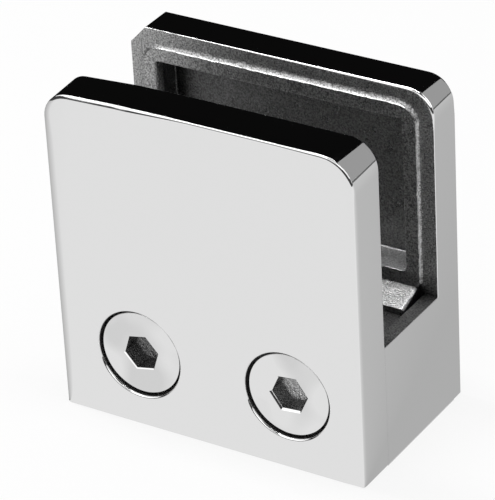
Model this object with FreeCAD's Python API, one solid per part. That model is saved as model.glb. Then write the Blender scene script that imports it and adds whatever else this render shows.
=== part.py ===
import FreeCAD, Part
import math
import os

# Glass panel clamp: a cast base with its back jaw, a front plate that clamps on to it, and two screws.
# Millimetres. X runs to the right, Y from the front plate to the back jaw and Z up.
# The origin is at the middle of the underside.

Vector = FreeCAD.Vector

# Outline of the clamp
clamp_width = 50.0
clamp_height = 51.9
front_plate_thickness = 6.8
slot_width = 15.4
back_jaw_thickness = 6.0
slot_floor_height = 19.4
jaw_corner_radius = 4.5
edge_bevel = 0.2

# Raised lip and pad pocket on the inner face of each jaw
rim_width = 2.65
lip_height = 0.6
lip_width = 2.15
lip_rise = 1.15
lip_top_radius = 3.0
lip_bottom_radius = 0.8
lip_foot_fillet = 0.5
pocket_depth = 4.6
pocket_radius = 0.5
pocket_floor_fillet = 0.3

# Recess in the slot floor, and the sloping toe at the foot of the back jaw
floor_strip_width = 2.3
floor_recess_depth = 1.0
toe_length = 4.6
toe_front_rise = 0.0
toe_end_gap = 1.0
toe_end_radius = 1.0

# M8 low-head screws with a hexagon socket
screw_inset = 12.7
screw_pair_shift = 0.5
screw_height = 11.8
thread_radius = 4.0
thread_length = 16.0
thread_tip_bevel = 0.8
head_radius = 6.5
head_height = 5.0
head_bevel = 0.15
socket_across_flats = 5.0
socket_depth = 3.0
left_socket_angle = 12.0
right_socket_angle = 5.0

# Fits round the screws
head_recess = 0.6
counterbore_clearance = 0.4
counterbore_bevel = 0.3
shank_clearance = 0.5
thread_clearance = 0.05
tapping_run_out = 1.6

# Threaded hole in the underside that fixes the clamp down
fixing_hole_radius = 3.4
fixing_hole_depth = 14.0

# Drilled holes and sockets end in a cone of this slope
drill_point_slope = math.radians(31.0)

# Planes across the depth of the clamp, from the front face to the back
clamp_depth = front_plate_thickness + slot_width + back_jaw_thickness
front_face_y = -clamp_depth / 2
seam_y = front_face_y + front_plate_thickness
back_rim_y = seam_y + slot_width
rear_face_y = back_rim_y + back_jaw_thickness

# Heights in the slot
recess_floor_z = slot_floor_height - floor_recess_depth
lip_bottom_z = slot_floor_height + lip_rise
toe_front_z = slot_floor_height + toe_front_rise

# Places along a screw, from the front
head_top_y = front_face_y + head_recess
head_seat_y = head_top_y + head_height
screw_tip_y = head_seat_y + thread_length

# The boolean cutters run this far past a face, so that no film of metal is left on it
overshoot = 1.0
same_place = 1e-4


def block(x_min, x_max, y_min, y_max, z_min, z_max):
    """A plain box between two corners."""
    return Part.makeBox(x_max - x_min, y_max - y_min, z_max - z_min, Vector(x_min, y_min, z_min))


def rod(x, z, radius, y_start, y_end):
    """A round rod along Y."""
    return Part.makeCylinder(radius, y_end - y_start, Vector(x, y_start, z), Vector(0, 1, 0))


def drill_point(base, direction, radius):
    """The cone that a drill leaves at the bottom of a hole."""
    return Part.makeCone(radius, 0, radius * math.tan(drill_point_slope), base, direction)


def is_near(value, target):
    """Whether two lengths are the same, apart from rounding."""
    return abs(value - target) < same_place


def spans(edge):
    """The box round an edge."""
    return edge.BoundBox


def upright_panel(half_width, bottom_z, top_z, bottom_radius, top_radius, y_start, y_end):
    """A panel with rounded corners when it is seen from the front, between two depths."""
    panel = block(-half_width, half_width, y_start, y_end, bottom_z, top_z)
    for level, radius in ((bottom_z, bottom_radius), (top_z, top_radius)):
        corners = [edge for edge in panel.Edges
                   if is_near(spans(edge).ZMin, level) and is_near(spans(edge).ZMax, level)
                   and is_near(abs(edge.CenterOfMass.x), half_width)]
        if radius > 0:
            panel = panel.makeFillet(radius, corners)
    return panel


def edges_at_depth(shape, y, above_z):
    """The edges of a shape that lie in one upright plane across Y, above a height."""
    return [edge for edge in shape.Edges
            if is_near(spans(edge).YMin, y) and is_near(spans(edge).YMax, y)
            and spans(edge).ZMax > above_z + same_place]


def lip_ring(rim_y, face_y):
    """The solid that the raised lip adds to a jaw, before its pocket is cut."""
    half_width = clamp_width / 2 - rim_width
    top_z = clamp_height - rim_width
    near_y, far_y = sorted((rim_y, face_y))
    return upright_panel(half_width, lip_bottom_z, top_z, lip_bottom_radius, lip_top_radius, near_y, far_y)


def pad_pocket(face_y, inward):
    """The pocket that takes the pad: it starts at the lip's face and runs into the jaw."""
    half_width = clamp_width / 2 - rim_width - lip_width
    bottom_z = lip_bottom_z + lip_width
    top_z = clamp_height - rim_width - lip_width
    floor_y = face_y + inward * pocket_depth
    near_y, far_y = sorted((face_y - inward * overshoot, floor_y))
    pocket = upright_panel(half_width, bottom_z, top_z, pocket_radius, pocket_radius, near_y, far_y)
    return pocket.makeFillet(pocket_floor_fillet, edges_at_depth(pocket, floor_y, bottom_z - overshoot))


def with_lip_and_pocket(jaw, rim_y, inward):
    """A jaw with its raised lip, the small fillet at the lip's foot, and the pad pocket."""
    face_y = rim_y - inward * lip_height
    jaw = jaw.fuse(lip_ring(rim_y, face_y)).removeSplitter()
    half_width = clamp_width / 2 - rim_width
    foot = [edge for edge in edges_at_depth(jaw, rim_y, lip_bottom_z - overshoot)
            if spans(edge).ZMin > lip_bottom_z - same_place
            and spans(edge).ZMax < clamp_height - rim_width + same_place
            and abs(edge.CenterOfMass.x) < half_width + same_place]
    jaw = jaw.makeFillet(lip_foot_fillet, foot)
    return jaw.cut(pad_pocket(face_y, inward))


def front_plate_casting():
    """The front plate before its screw holes: a foot against the base, and the front jaw above it."""
    half_width = clamp_width / 2
    foot = block(-half_width, half_width, front_face_y, seam_y, 0, slot_floor_height)
    jaw = upright_panel(half_width, slot_floor_height, clamp_height, 0, jaw_corner_radius,
                        front_face_y, seam_y)
    inner_edges = edges_at_depth(jaw, seam_y, slot_floor_height)
    jaw = jaw.makeChamfer(edge_bevel, inner_edges)
    casting = foot.fuse(jaw).removeSplitter()
    return casting.makeChamfer(edge_bevel, edges_at_depth(casting, front_face_y, -overshoot))


def screw_hole(x):
    """One counterbored hole of the front plate, with a small bevel round its mouth."""
    radius = head_radius + counterbore_clearance
    counterbore = rod(x, screw_height, radius, front_face_y - overshoot, head_seat_y)
    shank_hole = rod(x, screw_height, thread_radius + shank_clearance, head_seat_y - overshoot,
                     seam_y + overshoot)
    mouth = Part.makeCone(radius + counterbore_bevel, radius, counterbore_bevel,
                          Vector(x, front_face_y, screw_height), Vector(0, 1, 0))
    return counterbore.fuse([shank_hole, mouth])


def front_plate():
    """The front plate with its lip, pad pocket and two counterbored screw holes."""
    plate = with_lip_and_pocket(front_plate_casting(), seam_y, -1)
    for x in screw_places():
        plate = plate.cut(screw_hole(x))
    return plate


def toe():
    """The sloping toe at the foot of the back jaw, rounded at both ends."""
    half_width = clamp_width / 2 - floor_strip_width - toe_end_gap
    lip_face_y = back_rim_y - lip_height
    front_y = lip_face_y - toe_length
    profile = [Vector(-half_width, back_rim_y, recess_floor_z), Vector(-half_width, front_y, recess_floor_z),
               Vector(-half_width, front_y, toe_front_z), Vector(-half_width, lip_face_y, lip_bottom_z),
               Vector(-half_width, back_rim_y, lip_bottom_z)]
    solid = Part.Face(Part.makePolygon(profile + profile[:1])).extrude(Vector(2 * half_width, 0, 0))
    end_edges = [edge for edge in solid.Edges
                 if is_near(spans(edge).XMin, spans(edge).XMax)
                 and spans(edge).ZMin > toe_front_z - same_place]
    return solid.makeFillet(toe_end_radius, end_edges)


def rear_casting():
    """The base and the back jaw as one block, with its outer edges bevelled."""
    half_width = clamp_width / 2
    base = block(-half_width, half_width, seam_y, rear_face_y, 0, slot_floor_height)
    jaw = upright_panel(half_width, 0, clamp_height, 0, jaw_corner_radius, back_rim_y, rear_face_y)
    casting = base.fuse(jaw).removeSplitter()
    rear_edges = edges_at_depth(casting, rear_face_y, 0)
    jaw_edges = edges_at_depth(casting, back_rim_y, slot_floor_height)
    floor_edges = [edge for edge in casting.Edges
                   if is_near(spans(edge).ZMin, slot_floor_height)
                   and is_near(spans(edge).ZMax, slot_floor_height)
                   and is_near(abs(edge.CenterOfMass.x), half_width)]
    return casting.makeChamfer(edge_bevel, rear_edges + jaw_edges + floor_edges)


def floor_recess():
    """The shallow recess in the slot floor, between its two side strips."""
    half_width = clamp_width / 2 - floor_strip_width
    return block(-half_width, half_width, seam_y - overshoot, back_rim_y,
                 recess_floor_z, slot_floor_height + overshoot)


def tapped_hole(x):
    """The blind hole that one clamp screw threads into, open at the seam."""
    radius = thread_radius + thread_clearance
    end_y = screw_tip_y + tapping_run_out
    bore = rod(x, screw_height, radius, seam_y - overshoot, end_y)
    return bore.fuse(drill_point(Vector(x, end_y, screw_height), Vector(0, 1, 0), radius))


def fixing_hole():
    """The blind hole for the screw that holds the clamp down, open at the underside."""
    bore = Part.makeCylinder(fixing_hole_radius, fixing_hole_depth + overshoot, Vector(0, 0, -overshoot))
    return bore.fuse(drill_point(Vector(0, 0, fixing_hole_depth), Vector(0, 0, 1), fixing_hole_radius))


def rear_body():
    """The base, slot floor, back jaw and toe, all in one casting."""
    body = rear_casting().cut(floor_recess())
    body = with_lip_and_pocket(body, back_rim_y, 1)
    body = body.fuse(toe()).removeSplitter()
    for x in screw_places():
        body = body.cut(tapped_hole(x))
    return body.cut(fixing_hole())


def hexagon_socket(x, angle):
    """The screw's drive socket, with one corner at the given angle from +X as seen from the front."""
    corner_radius = socket_across_flats / 2 / math.cos(math.pi / 6)
    corners = []
    for step in range(6):
        turn = math.radians(angle) + step * math.pi / 3
        corners.append(Vector(x + corner_radius * math.cos(turn), head_top_y - overshoot,
                              screw_height + corner_radius * math.sin(turn)))
    outline = Part.Face(Part.makePolygon(corners + corners[:1]))
    prism = outline.extrude(Vector(0, socket_depth + overshoot, 0))
    floor = Vector(x, head_top_y + socket_depth, screw_height)
    return prism.fuse(drill_point(floor, Vector(0, 1, 0), socket_across_flats / 2))


def clamp_screw(x, socket_angle):
    """A low-head cap screw along Y, its thread left plain at the outside diameter."""
    head = rod(x, screw_height, head_radius, head_top_y, head_seat_y)
    head = head.makeChamfer(head_bevel, edges_at_depth(head, head_top_y, 0))
    shank = rod(x, screw_height, thread_radius, head_seat_y - overshoot, screw_tip_y)
    shank = shank.makeChamfer(thread_tip_bevel, edges_at_depth(shank, screw_tip_y, 0))
    return head.fuse(shank).removeSplitter().cut(hexagon_socket(x, socket_angle))


def screw_places():
    """Where the two screws stand across the clamp: the pair sits a little to the right of the middle."""
    half_spacing = clamp_width / 2 - screw_inset
    return (screw_pair_shift - half_spacing, screw_pair_shift + half_spacing)


def save(name, shape):
    """Check that a piece is one sound solid and write its file."""
    solid = shape.Solids[0]
    assert len(shape.Solids) == 1 and solid.isValid(), name
    solid.exportStep(os.path.join("parts", name + ".step"))
    box = solid.BoundBox
    print(name, "volume %.0f mm3" % solid.Volume,
          "x %.2f to %.2f" % (box.XMin, box.XMax),
          "y %.2f to %.2f" % (box.YMin, box.YMax),
          "z %.2f to %.2f" % (box.ZMin, box.ZMax))


os.makedirs("parts", exist_ok=True)
left_x, right_x = screw_places()
save("rear_body", rear_body())
save("front_plate", front_plate())
save("left_clamp_screw", clamp_screw(left_x, left_socket_angle))
save("right_clamp_screw", clamp_screw(right_x, right_socket_angle))
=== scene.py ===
# %% [markdown]
# # Glass panel clamp
# This lesson builds the looks of a square clamp that holds the edge of a glass panel. It is two
# castings, a base with a back jaw and a front plate, pulled together by two low-head screws. The
# outside is mirror polished and the slot is left as it came out of the mould.
#
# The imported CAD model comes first, because it fixes where every piece is and how it moves. Nothing of
# it is moved here. Each piece gets a finer skin of its own, laid on the same sizes.

import math

import bmesh
import bpy
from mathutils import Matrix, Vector, noise


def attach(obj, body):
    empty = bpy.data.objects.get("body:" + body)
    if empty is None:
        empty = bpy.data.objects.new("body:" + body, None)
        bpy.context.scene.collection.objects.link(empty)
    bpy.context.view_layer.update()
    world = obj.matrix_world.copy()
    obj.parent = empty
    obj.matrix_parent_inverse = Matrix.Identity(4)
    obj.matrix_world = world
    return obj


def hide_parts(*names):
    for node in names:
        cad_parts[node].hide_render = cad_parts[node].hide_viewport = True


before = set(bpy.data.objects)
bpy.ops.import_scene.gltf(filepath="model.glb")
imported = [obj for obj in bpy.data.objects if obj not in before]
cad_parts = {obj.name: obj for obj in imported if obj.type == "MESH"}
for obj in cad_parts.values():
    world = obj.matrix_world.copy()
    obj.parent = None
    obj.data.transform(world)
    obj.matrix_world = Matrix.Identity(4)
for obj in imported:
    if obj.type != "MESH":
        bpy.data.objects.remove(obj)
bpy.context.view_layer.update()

# %% [markdown]
# ## Sizes
# A clamp like this is drawn in millimetres, and Blender works in metres, so every size is written in
# millimetres and scaled once, where the points become a mesh. The values are those of the solid model:
# X runs across the jaws, Y from the front face to the back, and Z up from the underside.

# %% Sizes of the clamp
MM = 0.001
HALF_WIDTH = 25.0
HEIGHT = 51.9
FRONT_FACE = -14.1
SEAM = -7.3
BACK_RIM = 8.1
REAR_FACE = 14.1
SLOT_FLOOR = 19.4
JAW_CORNER = 4.5
EDGE_ROUND = 0.2
SCREW_PLACES = {"left": -11.8, "right": 12.8}
SCREW_LEVEL = 11.8
print("clamp", 2 * HALF_WIDTH, "by", REAR_FACE - FRONT_FACE, "by", HEIGHT, "mm")

# %% [markdown]
# ## Camera
# The camera stands in front, to the right and above, and far away behind a long lens, which is how a
# small part is photographed to keep its edges nearly parallel. Its place and turn were worked out from
# the straight edges of the clamp in the picture. Setting it up first means that every later step can be
# judged from the right side.

# %% Camera
camera_data = bpy.data.cameras.new("studio_camera")
camera_data.lens = 251.6
camera_data.sensor_width = 36.0
camera_data.clip_start = 0.01
camera_data.clip_end = 20.0
camera = bpy.data.objects.new("studio_camera", camera_data)
camera.location = (0.23387, -0.36293, 0.27290)
camera.rotation_euler = [math.radians(angle) for angle in (60.0957, 2.7642, 31.3689)]
bpy.context.scene.collection.objects.link(camera)
bpy.context.scene.camera = camera
print("camera", tuple(camera.location), "lens", camera_data.lens)

# %% [markdown]
# ## Rings and skins
# Both castings are stacks of rounded rectangles: the front face, its rounded edge, the side wall, the
# rim, the raised lip and the pocket all have the same outline, a little larger or smaller. A stack of
# rings with the same number of points can be joined ring to ring by plain quads, which shade cleanly
# on a mirror finish. Cutting everything from blocks would leave long thin triangles, and a polished
# face shows those at once.

# %% Outlines and rings
SIDE_STEPS = 110
CORNER_STEPS = 10


def rounded_outline(half_width, bottom, top, bottom_radius, top_radius, left_radius=None):
    """A rounded rectangle seen from the front, as (x, z) points from the bottom right corner round. The top
    left corner can have a radius of its own."""
    left_radius = top_radius if left_radius is None else left_radius
    corners = ((half_width - bottom_radius, bottom + bottom_radius, bottom_radius, -90),
               (half_width - top_radius, top - top_radius, top_radius, 0),
               (left_radius - half_width, top - left_radius, left_radius, 90),
               (bottom_radius - half_width, bottom + bottom_radius, bottom_radius, 180))
    arcs = []
    for x, z, radius, start in corners:
        turns = [math.radians(start + 90 * step / CORNER_STEPS) for step in range(CORNER_STEPS + 1)]
        arcs.append([(x + radius * math.cos(turn), z + radius * math.sin(turn)) for turn in turns])
    points = []
    for arc, following in zip(arcs, arcs[1:] + arcs[:1]):
        (x0, z0), (x1, z1) = arc[-1], following[0]
        side = [step / SIDE_STEPS for step in range(1, SIDE_STEPS)]
        points += arc + [(x0 + (x1 - x0) * share, z0 + (z1 - z0) * share) for share in side]
    return points


def ring_at(outline, y):
    """An outline as points in space, all at one depth."""
    return [Vector((x, y, z)) for x, z in outline]


def quarter_round(radius, steps):
    """Pairs of (how far in, how far along) round an edge of this radius, from its face to its wall."""
    turns = [math.pi / 2 * step / steps for step in range(steps + 1)]
    return [(radius * (1 - math.sin(turn)), radius * (1 - math.cos(turn))) for turn in turns]


def fade(value, start, reach):
    """0 up to the start, rising evenly to 1 over the reach, and 1 beyond it."""
    return min(1.0, max(0.0, (value - start) / reach))


print("points in a ring", len(rounded_outline(HALF_WIDTH, 0, HEIGHT, 1, JAW_CORNER)))

# %% [markdown]
# ## Skins
# A mesh is made here in a bmesh, which holds points and faces while they are being worked on. Rings
# that touch leave points on top of each other and faces without area, so these are merged away, and
# the normals are turned outwards before the millimetres become metres.

# %% Skins
def skin(shape, rings):
    """Quads from ring to ring, with a flat face over each end."""
    rows = [[shape.verts.new(point) for point in ring] for ring in rings]
    for row, following in zip(rows, rows[1:]):
        for i in range(len(row)):
            j = (i + 1) % len(row)
            shape.faces.new((row[i], row[j], following[j], following[i]))
    shape.faces.new(rows[0])
    shape.faces.new(rows[-1])


def placed(name, shape):
    """The object that a finished shape becomes, at home in the scene."""
    mesh = bpy.data.meshes.new(name)
    shape.to_mesh(mesh)
    shape.free()
    piece = bpy.data.objects.new(name, mesh)
    bpy.context.scene.collection.objects.link(piece)
    return piece


def new_piece(name, rings):
    """A closed piece from a stack of rings in millimetres."""
    shape = bmesh.new()
    skin(shape, rings)
    bmesh.ops.remove_doubles(shape, verts=shape.verts, dist=1e-5)
    bmesh.ops.dissolve_degenerate(shape, edges=shape.edges, dist=1e-6)
    bmesh.ops.recalc_face_normals(shape, faces=shape.faces)
    bmesh.ops.scale(shape, vec=(MM, MM, MM), verts=shape.verts)
    return placed(name, shape)


# %% [markdown]
# ## Joining and cutting
# The base, its jaw and the toe are one casting, but they are made apart and then joined, and the holes
# are bored last. Boolean modifiers do both. Their result is kept as the new mesh, because the finishes
# are later given to its faces.

# %% Joining and cutting
def combined(piece, tools, operation):
    """The piece after its tools have been joined to it or cut from it. The tools are used up."""
    for tool in tools:
        step = piece.modifiers.new(tool.name, "BOOLEAN")
        step.object = tool
        step.operation = operation
        step.solver = "EXACT"
    whole = piece.evaluated_get(bpy.context.evaluated_depsgraph_get())
    made = bpy.data.meshes.new_from_object(whole)
    piece.modifiers.clear()
    piece.data = made
    for tool in tools:
        bpy.data.objects.remove(tool)
    print(operation.lower(), piece.name, len(made.polygons), "faces")
    return piece


# %% [markdown]
# ## The as-cast lip and pocket
# Each jaw has a low lip round a pocket, into which a rubber pad is pressed. Inside the slot the metal
# is as it left the mould: the lip's edge wanders and its faces are lumpy. Small steps of smooth noise
# on the rings give that, because the noise moves whole stretches of edge together, where random
# numbers would only make them prickly.

# %% Lip and pocket rings
LIP_INSET = 2.65
LIP_WIDTH = 2.15
LIP_HEIGHT = 0.6
LIP_BOTTOM = SLOT_FLOOR + 1.15
LIP_TOP_RADIUS = 3.0
LIP_BOTTOM_RADIUS = 0.8
FOOT_TURN = 80
FOOT_STEPS = 8
SIDE_FOOT = 0.3
ARRIS = 0.06
POCKET_DEPTH = 4.6
POCKET_RADIUS = 0.5
POCKET_EDGE = 0.15
FLOOR_FILLET = 0.3
DRAFT = 0.25
# The foot is wide along the top of the jaw, from this height, and steep at the sides.
WIDE_FOOT_LEVEL = 46.5
# How far the mould's unevenness moves each stretch of the rings.
FOOT_WANDER = 0.02
CREST_WANDER = 0.08
EDGE_WANDER = 0.11
FACE_WANDER = 0.07
MOUTH_WANDER = 0.06
WALL_WANDER = 0.03
FLOOR_WANDER = 0.02


def wander(point, size, reach, seed):
    """A smooth offset of up to about reach, which changes over about one size along a surface."""
    return reach * noise.noise(point / size + Vector((seed, seed, seed)))


def lip_ring(inset, y, bottom_radius, top_radius, jitter):
    """One ring of the lip or pocket: the lip's outline moved inwards, with the mould's unevenness."""
    ring = ring_at(rounded_outline(HALF_WIDTH - LIP_INSET - inset, LIP_BOTTOM + inset,
                                   HEIGHT - LIP_INSET - inset, bottom_radius, top_radius), y)
    middle = Vector((0, y, (LIP_BOTTOM + HEIGHT - LIP_INSET) / 2))
    for point in ring:
        outward = (point - middle).normalized()
        away = wander(point, 1.1, jitter, 3.0) + wander(point, 0.45, jitter * 0.6, 7.0)
        point += outward * away
        point.y += wander(point, 1.6, jitter * 0.5, 11.0)
    return ring


def foot_curve():
    """(out, up) from the rim to the lip's edge, along a slope that curls up ever faster."""
    fine = 20
    out, up, curve = 0.0, 0.0, [(0.0, 0.0)]
    for i in range(FOOT_STEPS * fine):
        turn = math.radians(FOOT_TURN) * ((i + 0.5) / (FOOT_STEPS * fine)) ** 2
        out += math.cos(turn)
        up += math.sin(turn)
        if (i + 1) % fine == 0:
            curve.append((out, up))
    scale = LIP_HEIGHT / up
    return [((out - so_far) * scale, height * scale) for so_far, height in curve]


def lip_rings(rim_y, inward):
    """Rings from the foot of the lip, over its face and down to the floor of the pocket."""
    face_y = rim_y - inward * LIP_HEIGHT
    floor_y = face_y + inward * POCKET_DEPTH
    rings = []
    for step, (out, up) in enumerate(foot_curve()):
        jitter = FOOT_WANDER + CREST_WANDER * (step / FOOT_STEPS) ** 2
        wide = lip_ring(-out, rim_y - inward * up, LIP_BOTTOM_RADIUS + out, LIP_TOP_RADIUS + out, jitter)
        tight = lip_ring(-out * SIDE_FOOT, rim_y - inward * up, LIP_BOTTOM_RADIUS + out * SIDE_FOOT,
                         LIP_TOP_RADIUS + out * SIDE_FOOT, jitter)
        rings.append([low.lerp(high, fade(high.z, WIDE_FOOT_LEVEL, 2)) for low, high in zip(tight, wide)])
    rings += [lip_ring(ARRIS, face_y, LIP_BOTTOM_RADIUS - ARRIS, LIP_TOP_RADIUS - ARRIS, EDGE_WANDER)]
    rings += [lip_ring(LIP_WIDTH * share, face_y, LIP_BOTTOM_RADIUS - 0.2 * share,
                       LIP_TOP_RADIUS - 2.3 * share, FACE_WANDER) for share in (0.2, 0.4, 0.6, 0.8)]
    rings += [lip_ring(LIP_WIDTH - out, face_y + inward * up, POCKET_RADIUS + out, POCKET_RADIUS + out,
                       MOUTH_WANDER) for out, up in quarter_round(POCKET_EDGE, 2)]
    rings += [lip_ring(LIP_WIDTH + DRAFT * share, face_y + inward * POCKET_DEPTH * share,
                       POCKET_RADIUS, POCKET_RADIUS, WALL_WANDER) for share in (0.35, 0.65)]
    rings += [lip_ring(LIP_WIDTH + DRAFT + out, floor_y - inward * up, POCKET_RADIUS - out,
                       POCKET_RADIUS - out, FLOOR_WANDER)
              for out, up in reversed(quarter_round(FLOOR_FILLET, 4))]
    return rings


print("rings in a lip", len(lip_rings(BACK_RIM, 1)))

# %% [markdown]
# ## Front plate
# The front plate is a slab as wide and tall as the clamp. Its lower half is bolted to the base, and the
# upper half is the front jaw. Its stack starts at the mirror-flat front face, goes over a small round
# on to the side wall, over a second one on to the inner face, and then follows the lip and the pocket.
# Below the slot the inner edge is left square, because there the plate meets the base in a joint that
# is too tight to see.

# %% Outline of a jaw
FOOT_CORNER = 0.25


def plate_ring(inset, y, corner, left_corner):
    """The outer outline of a jaw, moved inwards."""
    foot = max(FOOT_CORNER - inset, 0.02)
    return ring_at(rounded_outline(HALF_WIDTH - inset, inset, HEIGHT - inset, foot, corner - inset,
                                   left_corner - inset), y)


def blend_rings(lower, upper):
    """A ring that is the first one below the slot floor and the second one above it."""
    mixed = []
    for low, high in zip(lower, upper):
        share = fade(high.z, SLOT_FLOOR - 0.1, 0.6)
        mixed.append(low.lerp(high, share))
    return mixed


print("points in a jaw's ring", len(plate_ring(0.0, FRONT_FACE, JAW_CORNER, JAW_CORNER)))

# %% [markdown]
# ## Buffed edge
# The edge of the front face was broken by hand on a buffing wheel, so it isn't the same all round. It is
# widest at the left, narrow at the top, and flattened along the top's left half. Each ring of the edge
# is therefore moved by an amount that depends on where its points are.

# %% Buffed edge
WHEEL_LEFT = 6.0
WHEEL_TOP = 0.9
WHEEL_DEPTH = 0.25
FRONT_CORNER = JAW_CORNER + 0.5
FRONT_LEFT_CORNER = JAW_CORNER - 0.3
# The flattened edge, from the face to the top: how far in and how deep each ring lies.
FLATTENED = ((0.56, 0.0), (0.54, 0.0055), (0.525, 0.0115), (0.5, 0.0228), (0.32, 0.105), (0.12, 0.198),
             (0.05, 0.235), (0.015, 0.272), (0.0, 0.31))


def buffed_ring(out, along, inset, depth):
    """A ring of the front edge. The wheel bit wide into the face at the top and left, and into the side at
    the right. Along the top's left half and at its right corner it left a flattened edge."""
    ring = plate_ring(out, FRONT_FACE, FRONT_CORNER, FRONT_LEFT_CORNER)
    flattened = plate_ring(inset, FRONT_FACE + depth, FRONT_CORNER, FRONT_LEFT_CORNER)
    for point, flat in zip(ring, flattened):
        to_left = fade(-point.x, 1, 10) * fade(point.x, -24.5, 3)
        to_right = 0.45 * fade(point.x, 13, 8)
        flatness = max(to_left, to_right) * fade(point.z, 48, 2)
        left = fade(-point.x, 17, 8)
        top = fade(point.z, 44, 7)
        right = fade(point.x, 22, 3) * (1 - fade(point.z, 45, 5))
        point.x += out * WHEEL_LEFT * left * (1 - 0.4 * top)
        point.z -= out * WHEEL_TOP * top * (1 - left)
        from_face = 1 - out / EDGE_ROUND
        point.y += along * (1 - left) * (1.0 + 3.5 * right) + WHEEL_DEPTH * left * from_face ** 2
        point += (flat - point) * flatness
    return ring


buffed_edge = [buffed_ring(out, along, inset, depth)
               for (out, along), (inset, depth) in zip(quarter_round(EDGE_ROUND, 8), FLATTENED)]
print("rings in the buffed edge", len(buffed_edge))

# %% [markdown]
# ## Front plate casting
# The plate's top isn't true either: it falls towards its left end, where more metal was polished away.
# All the rings of the outside are lowered there before the lip and the pocket are added.

# %% Front plate casting
TIGHT_JOINT = 0.02
WORN_START = 0.13
WORN_FRONT = 0.35
WORN_BACK = 0.62
SEAM_CORNER = JAW_CORNER - 0.1
SEAM_LEFT_CORNER = JAW_CORNER - 1.5


def worn_top(point):
    """The front jaw's top falls towards its left end, where more was polished away."""
    start = fade(-point.x, 4, 8)
    rest = max(0.0, (-13 - point.x) / 9.5)
    back = (point.y - FRONT_FACE) / (SEAM - FRONT_FACE)
    wear_and_highlight = WORN_START * start + (WORN_FRONT + (WORN_BACK - WORN_FRONT) * back) * rest
    point.z -= fade(point.z, 42, 8) * wear_and_highlight


def front_plate_rings():
    """From the front face to the floor of the pad pocket."""
    rings = list(buffed_edge)
    tight_edge = reversed(quarter_round(TIGHT_JOINT, 5))
    round_edge = reversed(quarter_round(EDGE_ROUND, 5))
    for (tight_out, tight_along), (out, along) in zip(tight_edge, round_edge):
        rings.append(blend_rings(
            plate_ring(tight_out, SEAM - tight_along, SEAM_CORNER, SEAM_LEFT_CORNER),
            plate_ring(out, SEAM - along, SEAM_CORNER, SEAM_LEFT_CORNER)))
    for ring in rings:
        for point in ring:
            worn_top(point)
    return rings + lip_rings(SEAM, -1)


front_casting = new_piece("front_jaw_casting", front_plate_rings())
print("front casting", len(front_casting.data.polygons), "faces")

# %% [markdown]
# ## Screw holes
# Each clamp screw sits in a counterbore of the front face, with a small rounded mouth that catches the
# light as a ring. Such a hole is turned, so its cutter is a turned shape: a short list of radii and
# depths, spun round the screw's axis. The exact solver keeps the flat face flat round the hole.

# %% Turned cutters
TURNED_STEPS = 96


def turned_rings(profile, x, z):
    """Rings round an axis along Y through (x, z), one for each (radius, y) of the profile."""
    turns = [math.tau * step / TURNED_STEPS for step in range(TURNED_STEPS)]
    return [[Vector((x + radius * math.cos(turn), y, z + radius * math.sin(turn))) for turn in turns]
            for radius, y in profile]


MOUTH_ROUND = 0.35
COUNTERBORE = 6.9
HEAD_SEAT = -8.5
SHANK_HOLE = 4.5
mouth = [(COUNTERBORE + out, FRONT_FACE + along) for out, along in quarter_round(MOUTH_ROUND, 5)]
plate_hole = [(COUNTERBORE + MOUTH_ROUND, FRONT_FACE - 1)] + mouth
plate_hole += [(COUNTERBORE, HEAD_SEAT), (SHANK_HOLE, HEAD_SEAT), (SHANK_HOLE, SEAM + 1)]
plate_cutters = [new_piece(side + "_counterbore", turned_rings(plate_hole, x, SCREW_LEVEL))
                 for side, x in SCREW_PLACES.items()]
front_casting = combined(front_casting, plate_cutters, "DIFFERENCE")

# %% [markdown]
# ## Base and back jaw
# The base and the back jaw are one casting. The jaw is a stack like the front plate's, mirrored. The
# base is a bar with one cross-section: a flat floor with a shallow recess between two side strips, so
# it is drawn once and drawn out along Y. The two solids overlap inside the metal, and joining them
# leaves one closed skin.

# %% Back jaw
THIN_ROUND = 0.12
WIDE_ROUND = 0.5
REAR_ROUND = 0.6
BACK_CORNER = JAW_CORNER - 0.3
BACK_BEVEL = 2.8
REAR_CORNER = JAW_CORNER - 0.7
REAR_BEVEL = 2.75
WORN_SIDE = 0.29


def near_top(point):
    """1 on the upper few millimetres of a jaw, fading to 0 below them."""
    return fade(point.z, HEIGHT - 6, 4)


def bevelled_ring(inset, y, corner, bevel):
    """The jaw's outline with a round top right corner and a flat bevel at the top left one. Its left side
    leans in towards the top, where more was polished away."""
    ring = plate_ring(inset, y, corner, bevel)
    middle = Vector((bevel - HALF_WIDTH, y, HEIGHT - bevel))
    for point in ring:
        if point.x < middle.x and point.z > middle.z:
            spoke = point - middle
            point -= spoke * (1 - spoke.length / (spoke.z - spoke.x))
        point.x += WORN_SIDE * fade(-point.x, 20, 4) * fade(point.z, 36, 6)
    return ring


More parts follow.
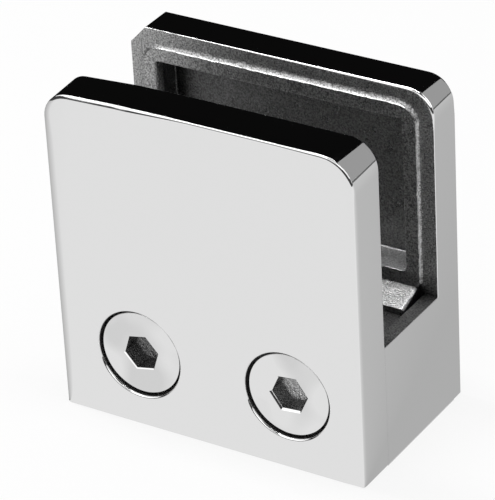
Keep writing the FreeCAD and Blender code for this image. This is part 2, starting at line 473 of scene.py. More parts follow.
def back_jaw_rings():
    """From the rear face to the floor of the pad pocket. The rim's edge is rounded ever wider from the left
    to the right, and at the left it is broken into short stretches."""
    rings = []
    thin_edge = quarter_round(THIN_ROUND, 6)
    wide_edge = quarter_round(REAR_ROUND, 6)
    for (thin_out, thin_along), (out, along) in zip(thin_edge, wide_edge):
        thin = bevelled_ring(thin_out, REAR_FACE - thin_along, REAR_CORNER, REAR_BEVEL)
        wide = bevelled_ring(out, REAR_FACE - along, REAR_CORNER, REAR_BEVEL)
        rings.append([low.lerp(high, near_top(high)) for low, high in zip(thin, wide)])
    thin_rim = reversed(quarter_round(THIN_ROUND, 5))
    wide_rim = reversed(quarter_round(WIDE_ROUND, 5))
    for (thin_out, thin_along), (out, along) in zip(thin_rim, wide_rim):
        sharp = bevelled_ring(thin_out * 0.2, BACK_RIM + thin_along * 0.2, BACK_CORNER, BACK_BEVEL)
        thin = bevelled_ring(thin_out, BACK_RIM + thin_along, BACK_CORNER, BACK_BEVEL)
        wide = bevelled_ring(out, BACK_RIM + along, BACK_CORNER, BACK_BEVEL)
        ring = []
        for least, low, high in zip(sharp, thin, wide):
            to_right = fade(high.x, -20, 43)
            broken = 0.5 + wander(high, 0.8, 2.4, 17.0)
            wear_and_highlight = fade(max(2.5 * to_right, broken, 1.0 - near_top(high)), 0, 1)
            ring.append(least.lerp(low, wear_and_highlight).lerp(high, (0.08 + 0.92 * to_right ** 2) * near_top(high)))
        rings.append(ring)
    return rings + lip_rings(BACK_RIM, 1)


rear_casting = new_piece("rear_casting", back_jaw_rings())
print("back jaw", len(rear_casting.data.polygons), "faces")

# %% [markdown]
# ## Base bar
# The slot's floor is a shallow recess between two side strips, a little uneven from the mould. The
# strips are plain, so only the recess gets closely spaced points.

# %% Base bar
RECESS_HALF_WIDTH = 22.7
RECESS_FLOOR = 18.4
RECESS_FILLET = 0.25
RECESS_EDGE = 0.1
BAR_END = 12.0
FLOOR_STEPS = 60
BAR_STEPS = 24


def base_section():
    """Half of the section from the underside's middle round to the recess, then its mirror image."""
    side = [(HALF_WIDTH, 0.0)]
    side += [(HALF_WIDTH - out, SLOT_FLOOR - along) for out, along in reversed(quarter_round(THIN_ROUND, 5))]
    side += [(RECESS_HALF_WIDTH + RECESS_EDGE, SLOT_FLOOR), (RECESS_HALF_WIDTH, SLOT_FLOOR - RECESS_EDGE)]
    side += [(RECESS_HALF_WIDTH, RECESS_FLOOR + RECESS_FILLET),
             (RECESS_HALF_WIDTH - RECESS_FILLET * 0.3, RECESS_FLOOR + RECESS_FILLET * 0.3),
             (RECESS_HALF_WIDTH - RECESS_FILLET, RECESS_FLOOR)]
    floor = [((1 - 2 * step / FLOOR_STEPS) * (RECESS_HALF_WIDTH - 0.6), RECESS_FLOOR)
             for step in range(FLOOR_STEPS + 1)]
    return side + floor + [(-x, z) for x, z in reversed(side)]


def base_ring(y):
    """One station of the bar, its floor a little uneven."""
    ring = ring_at(base_section(), y)
    for point in ring:
        if abs(point.z - RECESS_FLOOR) < 0.01 and SEAM < y < BACK_RIM:
            point.z += wander(point, 2.2, 0.07, 5.0)
    return ring


stations = [SEAM + (BACK_RIM - SEAM) * step / BAR_STEPS for step in range(BAR_STEPS + 1)] + [BAR_END]
base_bar = new_piece("base_bar", [base_ring(y) for y in stations])
print("base bar", len(base_bar.data.polygons), "faces")

# %% [markdown]
# ## Toe
# A toe slopes down from under the lip into the slot and keeps the pad's foot off the floor. It is a
# bar too, with its ends rounded over, so it is drawn out along X, and the last few stations sink along
# a quarter circle.

# %% Toe
TOE_LENGTH = 4.6
TOE_HALF_WIDTH = 21.95
TOE_END_ROUND = 0.5
TOE_FLARE = 0.018
TOE_ROOT = 0.8
TOE_STEPS = 60
TOE_SLOPE_STEPS = 8
lip_face = BACK_RIM - LIP_HEIGHT
toe_front = lip_face - TOE_LENGTH


def toe_ring(x, sink):
    """One station of the toe: its slope from the front edge up to the lip, then down inside the metal."""
    ring = []
    for step in range(TOE_SLOPE_STEPS + 1):
        share = step / TOE_SLOPE_STEPS
        point = Vector((x * (1 + TOE_FLARE * (1 - share)), toe_front + TOE_LENGTH * share,
                        SLOT_FLOOR + (LIP_BOTTOM - SLOT_FLOOR) * share))
        point.z += wander(point, 1.2, 0.06, 9.0) - sink
        ring.append(point)
    ring[0].y += wander(ring[0], 1.5, 0.08, 13.0)
    back = BACK_RIM + TOE_ROOT
    foot = RECESS_FLOOR - TOE_ROOT
    return ring + [Vector((x, back, ring[-1].z)), Vector((x, back, foot)),
                   Vector((x * (1 + TOE_FLARE), toe_front, foot))]


def toe_rings():
    """Stations from one rounded end to the other."""
    ends = [(TOE_HALF_WIDTH - out, along) for out, along in quarter_round(TOE_END_ROUND, 8)]
    inner = TOE_HALF_WIDTH - TOE_END_ROUND
    middle = [inner * (1 - 2 * step / TOE_STEPS) for step in range(1, TOE_STEPS)]
    rings = [toe_ring(x, sink) for x, sink in reversed(ends)]
    rings += [toe_ring(x, 0.0) for x in middle]
    return rings + [toe_ring(-x, sink) for x, sink in ends]


toe = new_piece("toe", toe_rings())
rear_casting = combined(rear_casting, [base_bar, toe], "UNION")

# %% [markdown]
# ## Holes in the base
# Two blind holes take the clamp screws and a third, in the underside, takes the screw that fixes the
# clamp down. A drill leaves a cone at the bottom of each.

# %% Holes in the base
DRILL_SLOPE = math.tan(math.radians(31.0))


def drilled_profile(radius, start, end, countersink):
    """(radius, depth) down a blind hole with a countersunk mouth and the cone that the drill leaves."""
    return [(radius + countersink, start - 1), (radius + countersink, start), (radius, start + countersink),
            (radius, end), (0.01, end + radius * DRILL_SLOPE)]


TAPPED_RADIUS = 4.05
TAPPED_END = 9.1
tapped = drilled_profile(TAPPED_RADIUS, SEAM, TAPPED_END, 0.5)
base_cutters = [new_piece(side + "_tapped_hole", turned_rings(tapped, x, SCREW_LEVEL))
                for side, x in SCREW_PLACES.items()]

FIXING_RADIUS = 3.4
FIXING_DEPTH = 14.0
fixing = drilled_profile(FIXING_RADIUS, 0.0, FIXING_DEPTH, 0.6)
fixing_rings = [[Vector((point.x, point.z, point.y)) for point in ring]
                for ring in turned_rings(fixing, 0.0, 0.0)]
base_cutters.append(new_piece("fixing_hole", fixing_rings))
rear_casting = combined(rear_casting, base_cutters, "DIFFERENCE")

# %% [markdown]
# ## Clamp screws
# The screws are low-head cap screws with a hexagon socket. Everything about them is turned, apart from
# the socket and the thread, so the whole screw is one stack of rings. The socket's rings are hexagons
# with the same number of points as the circles round them. For the thread, each ring is a turn of a
# helix: it starts one pitch further along than it ends, so the quads follow the ridge and stay crisp.

# %% Screw rings
HEAD_TOP = FRONT_FACE + 0.6
HEAD_RADIUS = 6.5
HEAD_ROUND = 0.12
SOCKET_FLATS = 5.0
SOCKET_DEPTH = 3.0
SOCKET_DRILL = 2.3
SOCKET_TURNS = {"left": 12.0, "right": 5.0}
SOCKET_BREAKS = {"left": 0.55, "right": 1.0}
# The broken edge of the socket, from inside out: how much wider and how deep each ring lies.
SOCKET_MOUTH = ((0.0, 0.26), (0.1, 0.2), (0.4, 0.05), (0.52, 0.0))
THREAD_TIP = 7.5
NECK_RADIUS = 3.5
NECK_FILLET = 0.2
SEAT_BREAK = 0.15


def hexagon_ring(flats, y, turned_by):
    """A hexagon with as many points as the turned rings, its corners on points of the ring."""
    ring = []
    for step in range(TURNED_STEPS):
        turn = math.tau * step / TURNED_STEPS
        from_flat = (turn % (math.tau / 6)) - math.tau / 12
        radius = flats / 2 / math.cos(from_flat)
        around = turn + math.radians(turned_by)
        ring.append(Vector((radius * math.cos(around), y, radius * math.sin(around))))
    return ring


def circle_ring(radius, y, turned_by):
    """A circle whose points face those of the hexagon."""
    turns = [math.tau * step / TURNED_STEPS + math.radians(turned_by) for step in range(TURNED_STEPS)]
    return [Vector((radius * math.cos(turn), y, radius * math.sin(turn))) for turn in turns]


# %% [markdown]
# ## Thread
# The screws have the ridges of an M8 thread, 1.25 mm apart. They are hidden while the clamp is closed
# and show when the front plate slides out, so they are a real helix and not a bump.

# %% Thread rings
PITCH = 1.25
THREAD_RADIUS = 4.0
THREAD_DEPTH = 0.767
THREAD_START = -7.6
TIP_BEVEL = 0.8
THREAD_PROFILE = ((0.0, 1.0), (0.125, 1.0), (0.4375, 0.0), (0.6875, 0.0))


def thread_rings(turned_by):
    """Turns of the helix from the neck to the bevelled tip."""
    rings = []
    turns = math.ceil((THREAD_TIP - THREAD_START) / PITCH) + 1
    for turn_count in range(-1, turns):
        for part, ridge in THREAD_PROFILE:
            ring = []
            for step in range(TURNED_STEPS):
                share = step / TURNED_STEPS
                y = THREAD_START + (turn_count + part + share) * PITCH
                y = min(max(y, THREAD_START), THREAD_TIP)
                from_tip = THREAD_TIP - y
                radius = THREAD_RADIUS - THREAD_DEPTH * (1 - ridge)
                radius = min(radius, THREAD_RADIUS - TIP_BEVEL + from_tip)
                if y <= THREAD_START or y >= THREAD_TIP:
                    radius = THREAD_RADIUS - THREAD_DEPTH - 0.03
                around = math.tau * share + math.radians(turned_by)
                ring.append(Vector((radius * math.cos(around), y, radius * math.sin(around))))
            rings.append(ring)
    return rings


def screw_rings(side):
    """The whole screw from the bottom of its socket round the head and along the thread."""
    turned_by = SOCKET_TURNS[side]
    broken = SOCKET_BREAKS[side]
    socket_floor = HEAD_TOP + SOCKET_DEPTH
    rings = [circle_ring(0.05, socket_floor + SOCKET_DRILL * DRILL_SLOPE, turned_by),
             circle_ring(SOCKET_DRILL, socket_floor, turned_by),
             hexagon_ring(SOCKET_FLATS, socket_floor, turned_by)]
    rings += [hexagon_ring(SOCKET_FLATS + wider * broken, HEAD_TOP + deep * broken, turned_by)
              for wider, deep in SOCKET_MOUTH]
    rings += [circle_ring(HEAD_RADIUS - out, HEAD_TOP + along, turned_by)
              for out, along in quarter_round(HEAD_ROUND, 5)]
    rings += [circle_ring(HEAD_RADIUS, HEAD_SEAT - SEAT_BREAK, turned_by),
              circle_ring(HEAD_RADIUS - SEAT_BREAK, HEAD_SEAT, turned_by),
              circle_ring(NECK_RADIUS + NECK_FILLET, HEAD_SEAT, turned_by),
              circle_ring(NECK_RADIUS, HEAD_SEAT + NECK_FILLET, turned_by),
              circle_ring(NECK_RADIUS, THREAD_START - 0.1, turned_by)]
    place = Vector((SCREW_PLACES[side], 0, SCREW_LEVEL))
    return [[point + place for point in ring] for ring in rings + thread_rings(turned_by)]


screws = {side: new_piece(side + "_screw", screw_rings(side)) for side in SCREW_PLACES}
for side, screw in screws.items():
    print(side, "screw", len(screw.data.polygons), "faces")

# %% [markdown]
# ## Shading groups
# Two effects are shared by several finishes. Hand polishing leaves slow waves and a faint haze, and a
# sand mould leaves grains. Each is a node group, built once, which gives out a height and a mask. The
# materials decide what to do with them.

# %% Node helpers
def group_with_sockets(name, inputs, outputs):
    """An empty node group with named float sockets, and its two ends."""
    tree = bpy.data.node_groups.new(name, "ShaderNodeTree")
    for label, value in inputs:
        socket = tree.interface.new_socket(label, in_out="INPUT", socket_type="NodeSocketFloat")
        socket.default_value = value
    for label in outputs:
        tree.interface.new_socket(label, in_out="OUTPUT", socket_type="NodeSocketFloat")
    return tree, tree.nodes.new("NodeGroupInput"), tree.nodes.new("NodeGroupOutput")


def math_node(tree, operation, first, second):
    """A math node whose inputs are sockets or plain numbers."""
    node = tree.nodes.new("ShaderNodeMath")
    node.operation = operation
    for socket, value in zip(node.inputs, (first, second)):
        if isinstance(value, (int, float)):
            socket.default_value = value
        else:
            tree.links.new(value, socket)
    return node.outputs[0]


def object_place(tree):
    """The output with a point's place in the piece's own coordinates."""
    return tree.nodes.new("ShaderNodeTexCoord").outputs["Object"]


def noise_node(tree, scale, detail, roughness=0.5):
    """Fractal noise in the piece's own coordinates, so it stays on the metal when the piece moves."""
    node = tree.nodes.new("ShaderNodeTexNoise")
    node.inputs["Detail"].default_value = detail
    node.inputs["Roughness"].default_value = roughness
    tree.links.new(object_place(tree), node.inputs["Vector"])
    tree.links.new(scale, node.inputs["Scale"])
    return node.outputs["Fac"]


# %% [markdown]
# ## Hand polish
# A wheel held by hand never leaves a true plane. Broad noise stands for its slow waves, and fine noise
# for the haze, so that the mirror isn't equally clear everywhere.

# %% Hand polish group
polish, polish_in, polish_out = group_with_sockets(
    "hand_polish", (("Wave scale", 60.0), ("Haze scale", 900.0)), ("Height", "Haze"))
waves = noise_node(polish, polish_in.outputs["Wave scale"], 1.0)
haze = noise_node(polish, polish_in.outputs["Haze scale"], 4.0, 0.65)
polish.links.new(waves, polish_out.inputs["Height"])
polish.links.new(haze, polish_out.inputs["Haze"])
print("group", polish.name)

# %% [markdown]
# ## Sand grain
# Sand leaves fine grains on top of broader lumps. Both go into the height, the lumps also into a tone
# and the grains into speckles.

# %% Sand grain group
grain, grain_in, grain_out = group_with_sockets(
    "sand_grain", (("Grain scale", 3000.0), ("Lump scale", 500.0)), ("Height", "Tone", "Speckle"))
grains = noise_node(grain, grain_in.outputs["Grain scale"], 3.0, 0.6)
lumps = noise_node(grain, grain_in.outputs["Lump scale"], 3.0, 0.6)
height = math_node(grain, "ADD", math_node(grain, "MULTIPLY", grains, 0.6),
                   math_node(grain, "MULTIPLY", lumps, 0.4))
grain.links.new(height, grain_out.inputs["Height"])
grain.links.new(lumps, grain_out.inputs["Tone"])
grain.links.new(grains, grain_out.inputs["Speckle"])
print("group", grain.name)

# %% [markdown]
# ## Finishes
# Everything is bare metal, so the finishes differ in tone, in roughness and in how their surface rolls.
# The outside is mirror polished, and the faces where the castings meet are ground. The raw slot has five
# copies of one speckled metal: as cast, a lighter copy with painted light on the toe, a still lighter one
# with a painted highlight on its crests, and darker copies with painted shade on its floor and in the back
# jaw's pocket. The screws are bright, with matt walls and floors in their sockets. Bump carries what is
# finer than the mesh.

# %% Shader helpers
BRIGHT = 0.735
MATT_ROUGHNESS = 0.3
MIRROR_ROUGHNESS = 0.06


def metal(name, tone, roughness=MATT_ROUGHNESS):
    """A plain grey metal, its shader and its node tree."""
    material = bpy.data.materials.new(name)
    material.use_nodes = True
    shader = material.node_tree.nodes["Principled BSDF"]
    shader.inputs["Base Color"].default_value = (tone, tone, tone, 1.0)
    shader.inputs["Metallic"].default_value = 1.0
    shader.inputs["Roughness"].default_value = roughness
    return material, shader, material.node_tree


def use_group(tree, group, **values):
    """Places a shared group in a material with its own values."""
    node = tree.nodes.new("ShaderNodeGroup")
    node.node_tree = group
    for label, value in values.items():
        node.inputs[label.replace("_", " ")].default_value = value
    return node


def bump(tree, shader, height, distance, strength=1.0):
    """Feeds a height into the shader's normal."""
    node = tree.nodes.new("ShaderNodeBump")
    node.inputs["Strength"].default_value = strength
    node.inputs["Distance"].default_value = distance
    tree.links.new(height, node.inputs["Height"])
    tree.links.new(node.outputs["Normal"], shader.inputs["Normal"])


def ramp(tree, value, span, result):
    """Maps the span of a value on to another one, and holds its ends beyond that."""
    node = tree.nodes.new("ShaderNodeMapRange")
    for label, number in zip(("From Min", "From Max", "To Min", "To Max"), (*span, *result)):
        node.inputs[label].default_value = number
    tree.links.new(value, node.inputs["Value"])
    return node.outputs["Result"]


def tint(tree, shader, tone):
    """Feeds a changing grey tone into the shader's colour."""
    grey = tree.nodes.new("ShaderNodeCombineColor")
    for channel in ("Red", "Green", "Blue"):
        tree.links.new(tone, grey.inputs[channel])
    tree.links.new(grey.outputs[0], shader.inputs["Base Color"])


def hazed(tree, shader, marks):
    """Gives a polished metal its uneven haze."""
    roughness = ramp(tree, marks.outputs["Haze"], (0.35, 0.7), (0.02, 0.08))
    tree.links.new(roughness, shader.inputs["Roughness"])


# %% [markdown]
# ## Mirror polish
# The outside of the castings is a grey metal with almost no roughness. It is darker than silver, as
# stainless steel is, and its waves bend the reflections a little.

# %% Mirror polish
polished, shader, tree = metal("mirror_polish", BRIGHT, MIRROR_ROUGHNESS)
marks = use_group(tree, polish, Wave_scale=70.0, Haze_scale=800.0)
hazed(tree, shader, marks)
bump(tree, shader, marks.outputs["Height"], 0.00006, 0.5)
print("finish", polished.name)

# %% [markdown]
# ## Raw castings
# The raw metal is speckled between a dark and a light tone, and has painted shade in its corners, where
# ambient occlusion darkens its colour. One function makes all five finishes: the plain one, two lighter
# copies with painted light and a painted highlight, and two darker copies with painted shade.

# %% Raw castings
def cast_metal(name, dark, light, shade_reach, corner_shade, left_shade=1.0):
    """Speckled metal as it left the mould, with painted shade darkening its colour in deep corners, and a
    painted shade that is darkest at the left and fades out towards the right."""
    material, shader, tree = metal(name, light)
    marks = use_group(tree, grain, Grain_scale=3700.0, Lump_scale=700.0)
    roughness = ramp(tree, marks.outputs["Tone"], (0.35, 0.65), (0.27, 0.36))
    tree.links.new(roughness, shader.inputs["Roughness"])
    # Painted shade: ambient occlusion darkens the colour in corners.
    corners = tree.nodes.new("ShaderNodeAmbientOcclusion")
    corners.samples = 8
    corners.inputs["Distance"].default_value = shade_reach
    across = tree.nodes.new("ShaderNodeSeparateXYZ")
    tree.links.new(object_place(tree), across.inputs[0])
    # The painted shade of the corners times the painted shade that fades from the left to the right.
    painted_shade = math_node(tree, "MULTIPLY", ramp(tree, corners.outputs["AO"], (0.45, 1.0), (corner_shade, 1.0)),
                      ramp(tree, across.outputs["X"], (-20 * MM, 14 * MM), (left_shade, 1.0)))
    speckled = ramp(tree, marks.outputs["Speckle"], (0.38, 0.62), (dark, light))
    tint(tree, shader, math_node(tree, "MULTIPLY", speckled, painted_shade))
    bump(tree, shader, marks.outputs["Height"], 0.00016)
    return material


# How far the painted shade of corners reaches: far for the plain and darker copies, short for the lighter
# ones.
CORNER_SHADE_REACH = 4.5 * MM
SHORT_SHADE_REACH = 1.0 * MM
cast = cast_metal("as_cast", 0.2, 0.62, CORNER_SHADE_REACH, 0.3)
# A lighter copy of the same metal: painted light on the toe's upper side.
toe_light = cast_metal("toe_light_casting", 0.42, 0.72, SHORT_SHADE_REACH, 0.95)
# A still lighter copy of the same metal: painted highlight on the lip's crest, the pocket's ledge and the
# toe's right end.
wear_and_highlight = cast_metal("painted_highlight_casting", 0.62, 0.95, SHORT_SHADE_REACH, 0.95)
# A darker copy of the same metal: painted shade on the slot's floor and the lip's lower band.
low_shade = cast_metal("low_shade_casting", 0.19, 0.43, CORNER_SHADE_REACH, 0.3)
# A darker copy of the same metal: painted shade in the back jaw's pocket, darkest at its left.
pocket_shade = cast_metal("shaded_pocket", 0.21, 0.47, CORNER_SHADE_REACH, 0.75, 0.42)
print("raw finishes", [finish.name for finish in (cast, toe_light, wear_and_highlight, low_shade, pocket_shade)])

# %% [markdown]
# ## Ground faces
# The joint between the castings and the holes are machined. They are hidden while the clamp is closed,
# and a plain matt metal with a fine roll is enough for them.

# %% Ground faces
ground, shader, tree = metal("ground_face", 0.5)
marks = use_group(tree, polish, Wave_scale=300.0, Haze_scale=3000.0)
bump(tree, shader, marks.outputs["Haze"], 0.00003)
CASTING_FINISHES = (polished, cast, ground, toe_light, low_shade, wear_and_highlight, pocket_shade)
print("casting finishes", [finish.name for finish in CASTING_FINISHES])

# %% [markdown]
# ## Screw finishes
# The screws are as bright as the castings, with finer waves and a few smudges. The sockets are darker and
# matt, and their floors are shaded and lit copies of one metal: the left floor is much darker as painted
# shade, and the right one lighter as painted light.

# %% Screw finishes
screw_steel, shader, tree = metal("bright_screw_steel", BRIGHT, MIRROR_ROUGHNESS)
marks = use_group(tree, polish, Wave_scale=120.0, Haze_scale=1500.0)
tint(tree, shader, ramp(tree, marks.outputs["Height"], (0.53, 0.7), (BRIGHT, 0.62)))
hazed(tree, shader, marks)
bump(tree, shader, marks.outputs["Height"], 0.00006, 0.6)


def tooled_metal(name, tone, grain_scale, roll):
    """A matt face inside a socket, as the drill or the broach left it."""
    material, shader, tree = metal(name, tone)
    marks = use_group(tree, grain, Grain_scale=grain_scale, Lump_scale=900.0)
    roughness = ramp(tree, marks.outputs["Tone"], (0.35, 0.65), (0.15, 0.4))
    tree.links.new(roughness, shader.inputs["Roughness"])
    bump(tree, shader, marks.outputs["Height"], roll)
    return material


socket_steel = tooled_metal("broached_wall", 0.2, 4000.0, 0.0004)
# The left floor is a darker copy as painted shade, the right one a lighter copy as painted light.
drilled = {"left": tooled_metal("shaded_drilled_floor", 0.28, 3000.0, 0.0003),
           "right": tooled_metal("lit_drilled_floor", 0.75, 3000.0, 0.0003)}
SCREW_FINISHES = {side: (screw_steel, socket_steel, floor) for side, floor in drilled.items()}
print("screw finishes", [[finish.name for finish in finishes] for finishes in SCREW_FINISHES.values()])

# %% [markdown]
# ## Which face gets which finish
# After the joining and cutting, a face is known by where it is and which way it looks. Anything on the outer
# skin is polished, and the faces where the castings meet and the holes are ground. Within the slot, the
# upper side of the toe gets painted light, its right end, the pocket's ledge and the crest of the lip get a
# painted highlight, and the slot's floor and the pocket get painted shade as darker copies of the raw metal.

# %% Finish of each face
CLOSE = 0.02
HOLES_TOP = 18.0
HOLES_END = 13.5
LIP_SIDE = 2.4
LIP_TOP = 2.3
# How far a normal has to point up, or to the right, for a face to be painted lighter.
UPWARD = 0.3
CREST_UP = 0.87
CREST_RIGHT = 0.9
POLISHED, CAST, GROUND, TOE_LIGHT, LOW_SHADE, HIGHLIGHT, POCKET_SHADE = range(len(CASTING_FINISHES))


def give_finishes(piece, finishes, finish_of):
    """Sets the finish of each face from its middle in millimetres and its normal."""
    for material in finishes:
        piece.data.materials.append(material)
    for face in piece.data.polygons:
        face.use_smooth = True
        face.material_index = finish_of(face.center / MM, face.normal)
    used = [face.material_index for face in piece.data.polygons]
    print(piece.name, {finish.name: used.count(i) for i, finish in enumerate(finishes)})


def in_pocket(at):
    """Whether a point lies within the outline of the lip, seen from the front."""
    return abs(at.x) < HALF_WIDTH - LIP_SIDE and 20 < at.z < HEIGHT - LIP_TOP


def plate_finish(at, facing):
    """The finish of a face of the front plate."""
    near_hole = any(math.hypot(at.x - x, at.z - SCREW_LEVEL) < COUNTERBORE + 0.01
                    for x in SCREW_PLACES.values())
    on_joint = at.y > SEAM - CLOSE and at.z < SLOT_FLOOR
    if near_hole and at.y > FRONT_FACE + 0.3 or on_joint:
        return GROUND
    pocket = at.y > SEAM + LIP_HEIGHT - POCKET_DEPTH - 0.2 and in_pocket(at)
    return CAST if at.y > SEAM - CLOSE or pocket else POLISHED


def slot_finish(at, facing, in_slot):
    """The finish of a face in the slot, or in the pocket of the back jaw."""
    on_toe = toe_front - CLOSE < at.y < lip_face and at.z > SLOT_FLOOR - 0.6
    on_toe = on_toe and abs(at.x) < TOE_HALF_WIDTH + CLOSE
    on_ledge = at.y > BACK_RIM and at.z < LIP_BOTTOM + LIP_WIDTH + 0.6
    # Up-facing faces of the ledge, the toe's right end and the lip's crest get the painted highlight, and
    # the rest of the toe gets painted light.
    if facing.z > UPWARD and on_ledge and in_pocket(at):
        return HIGHLIGHT
    if facing.z > UPWARD and on_toe and in_slot:
        return HIGHLIGHT if at.x > TOE_HALF_WIDTH - 0.45 else TOE_LIGHT
    on_lip = lip_face - 0.1 < at.y < BACK_RIM - 0.12 and at.z > LIP_BOTTOM + 0.5
    if on_lip and in_slot and (facing.z > CREST_UP or facing.x > CREST_RIGHT):
        return HIGHLIGHT
    # The deep pocket gets the darker copy as painted shade.
    if at.y > lip_face + 1 and in_pocket(at):
        return POCKET_SHADE
    # The slot's floor and the lip's lower band get the darker copy as painted shade.
    low = at.z < LIP_BOTTOM + LIP_WIDTH and abs(at.x) < HALF_WIDTH - LIP_INSET
    return LOW_SHADE if low or in_slot and at.z < SLOT_FLOOR + CLOSE else CAST


def rear_finish(at, facing):
    """The finish of a face of the base and back jaw."""
    in_hole = at.z < HOLES_TOP and abs(at.x) < HALF_WIDTH - 0.1 and at.y < HOLES_END
    if at.z < CLOSE or at.y < SEAM + CLOSE or in_hole:
        return GROUND
    in_slot = at.y < BACK_RIM + CLOSE and abs(at.x) < HALF_WIDTH - EDGE_ROUND * 0.5 and at.z > HOLES_TOP
    pocket = at.y < lip_face + POCKET_DEPTH + 0.2 and in_pocket(at)
    return slot_finish(at, facing, in_slot) if in_slot or pocket else POLISHED


give_finishes(front_casting, CASTING_FINISHES, plate_finish)
give_finishes(rear_casting, CASTING_FINISHES, rear_finish)

# %% [markdown]
# ## Faces of the screws
# Only the sockets differ from the rest of a screw. A face near the axis and below the head's top is in
# the socket, and it is the floor if it looks out of it.

# %% Faces of the screws
SOCKET_REACH = 3.0
BRIGHT_STEEL, SOCKET_WALL, SOCKET_BOTTOM = range(3)


def screw_finish(side):
    """The rule for the faces of one screw."""
    def finish_of(at, facing):
        in_bore = math.hypot(at.x - SCREW_PLACES[side], at.z - SCREW_LEVEL) < SOCKET_REACH
        if not in_bore or not HEAD_TOP + 0.25 < at.y < HEAD_SEAT + 0.1:
            return BRIGHT_STEEL
        return SOCKET_BOTTOM if facing.y < -0.5 else SOCKET_WALL
    return finish_of


for side, screw in screws.items():
    give_finishes(screw, SCREW_FINISHES[side], screw_finish(side))

# %% [markdown]
# ## Crisp flats and soft edges
# A mirror shows every slip in its normals. Edges that turn sharply stay sharp, and a weighted normal
# modifier lets the large flat faces rule the points that they share with the small rounded edges.

# %% Normals
for piece in (front_casting, rear_casting, *screws.values()):
    piece.data.set_sharp_from_angle(angle=math.radians(35))
    weighted = piece.modifiers.new("flat_faces_rule", "WEIGHTED_NORMAL")
    weighted.keep_sharp = True
    weighted.weight = 60
print("normals weighted")

# %% [markdown]
# ## Each skin rides on its body
# The skins stand for the CAD nodes and move with the same bodies, so the front plate can slide out and
# the screws can turn.

# %% Ride and replace
for piece, node, body, slot in (
        (rear_casting, "rear_body", "base", "polished_casting"),
        (front_casting, "front_plate", "front_plate", "polished_casting"),
        (screws["left"], "left_clamp_screw", "left_clamp_screw", "screw_steel"),
        (screws["right"], "right_clamp_screw", "right_clamp_screw", "screw_steel")):
    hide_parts(node)
    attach(piece, body)
    print(piece.name, "stands for", node)

# %% [markdown]
# ## Studio
# Bright metal shows its surroundings, so the studio is most of the picture. The floor and the world are
# white. A black card behind and to the left makes the tops of the jaws dark, a grey one to the right
# keeps the side from burning out, and a soft lamp hangs overhead. The cards aren't seen directly: they
# only show in the metal.

# %% World
WORLD_LIGHT = 0.6


def seen(tree):
    """1 for what the camera sees, directly, in a mirror or through glass, and 0 for what only lights."""
    rays = tree.nodes.new("ShaderNodeLightPath")
    mirrored = math_node(tree, "MAXIMUM", rays.outputs["Is Camera Ray"], rays.outputs["Is Glossy Ray"])
    return math_node(tree, "MAXIMUM", mirrored, rays.outputs["Is Transmission Ray"])


world = bpy.data.worlds.new("studio")
world.use_nodes = True
bpy.context.scene.world = world
tree = world.node_tree
sky = tree.nodes["Background"]
sky.inputs["Color"].default_value = (1, 1, 1, 1)
tree.links.new(ramp(tree, seen(tree), (0.0, 1.0), (WORLD_LIGHT, 1.0)), sky.inputs["Strength"])
print("world", world.name)

# %% [markdown]
# ## Floor
# The floor is matt white paper. Where the camera or a mirror sees it, it is mostly a glow of full
# white, so that it melts into the background, and what is left of the paper holds the shadow.

# %% Floor
def stand(name, shape, material):
    """Makes a sheet of the studio from its shape."""
    sheet = placed(name, shape)
    sheet.data.materials.append(material)
    return sheet


def flat_sheet(name, corners, material):
    """A thin sheet of the studio from its corners in metres."""
    shape = bmesh.new()
    shape.faces.new([shape.verts.new(corner) for corner in corners])
    return stand(name, shape, material)


FLOOR_GLOW = 0.82
floor_paper = bpy.data.materials.new("pale_floor")
floor_paper.use_nodes = True
tree = floor_paper.node_tree
paper = tree.nodes["Principled BSDF"]
paper.inputs["Base Color"].default_value = (0.9, 0.9, 0.9, 1)
paper.inputs["Roughness"].default_value = 0.9
paper.inputs["Specular IOR Level"].default_value = 0.0
white = tree.nodes.new("ShaderNodeEmission")
mixed = tree.nodes.new("ShaderNodeMixShader")
tree.links.new(math_node(tree, "MULTIPLY", seen(tree), FLOOR_GLOW), mixed.inputs["Fac"])
tree.links.new(paper.outputs[0], mixed.inputs[1])
tree.links.new(white.outputs[0], mixed.inputs[2])
tree.links.new(mixed.outputs[0], tree.nodes["Material Output"].inputs["Surface"])
flat_sheet("floor", [(-2, -2, 0), (2, -2, 0), (2, 2, 0), (-2, 2, 0)], floor_paper)
print("floor and world are white")

# %% [markdown]
# ## Cards
# Photographers bend card round bright metal, light where it should shine and dark where it should show
# an edge. Each card here is part of a ball round the clamp, between two azimuths and two elevations,
# and gives out its own tone, so that it looks the same from everywhere in the studio.

# %% Cards
STAND_HEIGHT = 0.03
CARD_STEPS = 24


def card_material(name, tone):
    """Card of one tone that gives out what it would reflect."""
    material = bpy.data.materials.new(name)
    material.use_nodes = True
    tree = material.node_tree
    tree.nodes.remove(tree.nodes["Principled BSDF"])
    glow = tree.nodes.new("ShaderNodeEmission")
    glow.inputs["Color"].default_value = (tone, tone, tone, 1)
    tree.links.new(glow.outputs[0], tree.nodes["Material Output"].inputs["Surface"])
    return material, tree, glow


def only_in_reflections(card):
    """Hides a card from everything but the metal's reflections."""
    card.visible_camera = False
    card.visible_shadow = False
    card.visible_diffuse = False


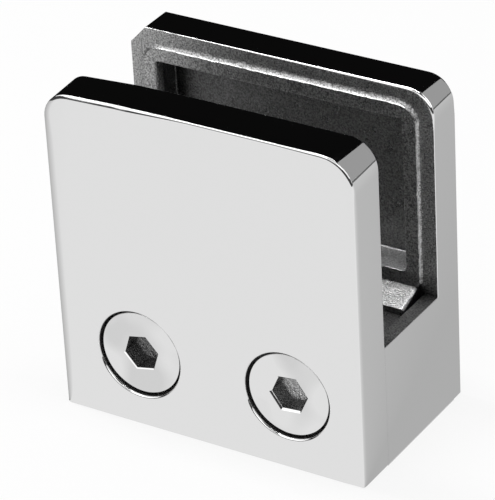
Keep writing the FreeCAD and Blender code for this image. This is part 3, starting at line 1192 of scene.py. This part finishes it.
def curved_card(name, azimuths, elevations, distance, tone):
    """A sheet bent round the clamp, between two azimuths from +Y towards +X and two elevations."""
    shape = bmesh.new()
    rows = []
    for i in range(CARD_STEPS + 1):
        azimuth = math.radians(azimuths[0] + (azimuths[1] - azimuths[0]) * i / CARD_STEPS)
        row = []
        for j in range(CARD_STEPS + 1):
            elevation = math.radians(elevations[0] + (elevations[1] - elevations[0]) * j / CARD_STEPS)
            row.append(shape.verts.new((distance * math.sin(azimuth) * math.cos(elevation),
                                        distance * math.cos(azimuth) * math.cos(elevation),
                                        STAND_HEIGHT + distance * math.sin(elevation))))
        rows.append(row)
    for row, following in zip(rows, rows[1:]):
        for j in range(CARD_STEPS):
            shape.faces.new((row[j], row[j + 1], following[j + 1], following[j]))
    only_in_reflections(stand(name, shape, card_material(name, tone)[0]))


# Azimuths and elevations in degrees, distance in metres, and tone.
CARDS = {"black_card": ((-100, 20), (-3, 47), 0.60, 0.004),
         "grey_card": ((20, 52), (2, 60), 0.62, 0.42),
         "side_softbox": ((52, 75), (14, 60), 0.62, 2.0),
         "dark_horizon": ((75, 260), (-4, 16), 0.58, 0.06),
         "dark_horizon_right": ((20, 75), (-2, 2), 0.58, 0.15),
         "camera_softbox": ((110, 175), (16, 48), 0.66, 1.6),
         "dark_wall_right": ((75, 190), (48, 88), 0.68, 0.15),
         "dark_ceiling": ((-100, 75), (46, 88), 0.70, 0.03),
         "front_softbox": ((195, 260), (16, 80), 0.66, 1.7)}
for name, (azimuths, elevations, distance, tone) in CARDS.items():
    curved_card(name, azimuths, elevations, distance, tone)
print("cards", list(CARDS))

# %% [markdown]
# ## Floor cards
# The upright faces mirror the floor near the clamp. Two cards on the floor shade it round the edges of
# the front face, so that each face gets a slow gradient and the edges between them show.

# %% Floor cards
def floor_card(name, corners):
    """Lays a card on the floor and gives back its node tree and its glow, which the caller shades."""
    material, tree, glow = card_material(name, 1.0)
    only_in_reflections(flat_sheet(name, [(x * MM, y * MM, 0.0001) for x, y in corners], material))
    return tree, glow


def turn_about(tree, x, y):
    """The direction from an edge of the clamp at (x, y) to the floor, in radians from -Y towards -X."""
    split = tree.nodes.new("ShaderNodeSeparateXYZ")
    tree.links.new(object_place(tree), split.inputs[0])
    return math_node(tree, "ARCTAN2", math_node(tree, "SUBTRACT", x * MM, split.outputs["X"]),
                     math_node(tree, "SUBTRACT", y * MM, split.outputs["Y"]))


# The left card darkens from the front round to the left, and is black behind.
FAR = 1500
CARD_LEFT = -25.1
CARD_RIGHT = HALF_WIDTH + 0.05
CARD_FRONT = FRONT_FACE - 0.02
tree, glow = floor_card("left_floor_card", [(CARD_LEFT, CARD_FRONT), (CARD_RIGHT, CARD_FRONT),
                                            (CARD_RIGHT, -FAR), (-FAR, -FAR), (-FAR, FAR), (CARD_LEFT, FAR)])
around = turn_about(tree, -HALF_WIDTH, FRONT_FACE)
greyer = ramp(tree, around, (math.radians(34), math.radians(94)), (1.0, 0.42))
darker = ramp(tree, around, (math.radians(105), math.radians(130)), (1.0, 0.01))
tree.links.new(math_node(tree, "MULTIPLY", greyer, darker), glow.inputs["Strength"])

# The right card is grey behind and light in front.
tree, glow = floor_card("right_floor_card", [(CARD_RIGHT, -FAR), (FAR, -FAR), (FAR, FAR), (-24, FAR),
                                             (-24, REAR_FACE + 1), (CARD_RIGHT, REAR_FACE + 1)])
around = turn_about(tree, HALF_WIDTH, FRONT_FACE)
lighter = ramp(tree, around, (math.radians(-146), math.radians(-95)), (0.58, 0.93))
behind = ramp(tree, around, (math.radians(-165), math.radians(-146)), (0.94, 1.1))
tree.links.new(math_node(tree, "MULTIPLY", lighter, behind), glow.inputs["Strength"])
print("floor cards lie")

# %% [markdown]
# ## Lamp
# One long soft lamp overhead lights the raw slot and lays a faint shadow on the floor.

# %% Lamp
lamp_data = bpy.data.lights.new("overhead_softbox", "AREA")
lamp_data.shape = "RECTANGLE"
lamp_data.size = 0.5
lamp_data.size_y = 0.08
lamp_data.energy = 1.35
lamp = bpy.data.objects.new("overhead_softbox", lamp_data)
lamp.location = (-0.08, 0.0, 0.5)
lamp.rotation_euler = (0.0, math.radians(-10), 0.0)
bpy.context.scene.collection.objects.link(lamp)
print("lamp over the clamp")

# %% [markdown]
# ## View
# The standard view shows colours as they are written.

# %% Finish
bpy.context.scene.view_settings.view_transform = "Standard"
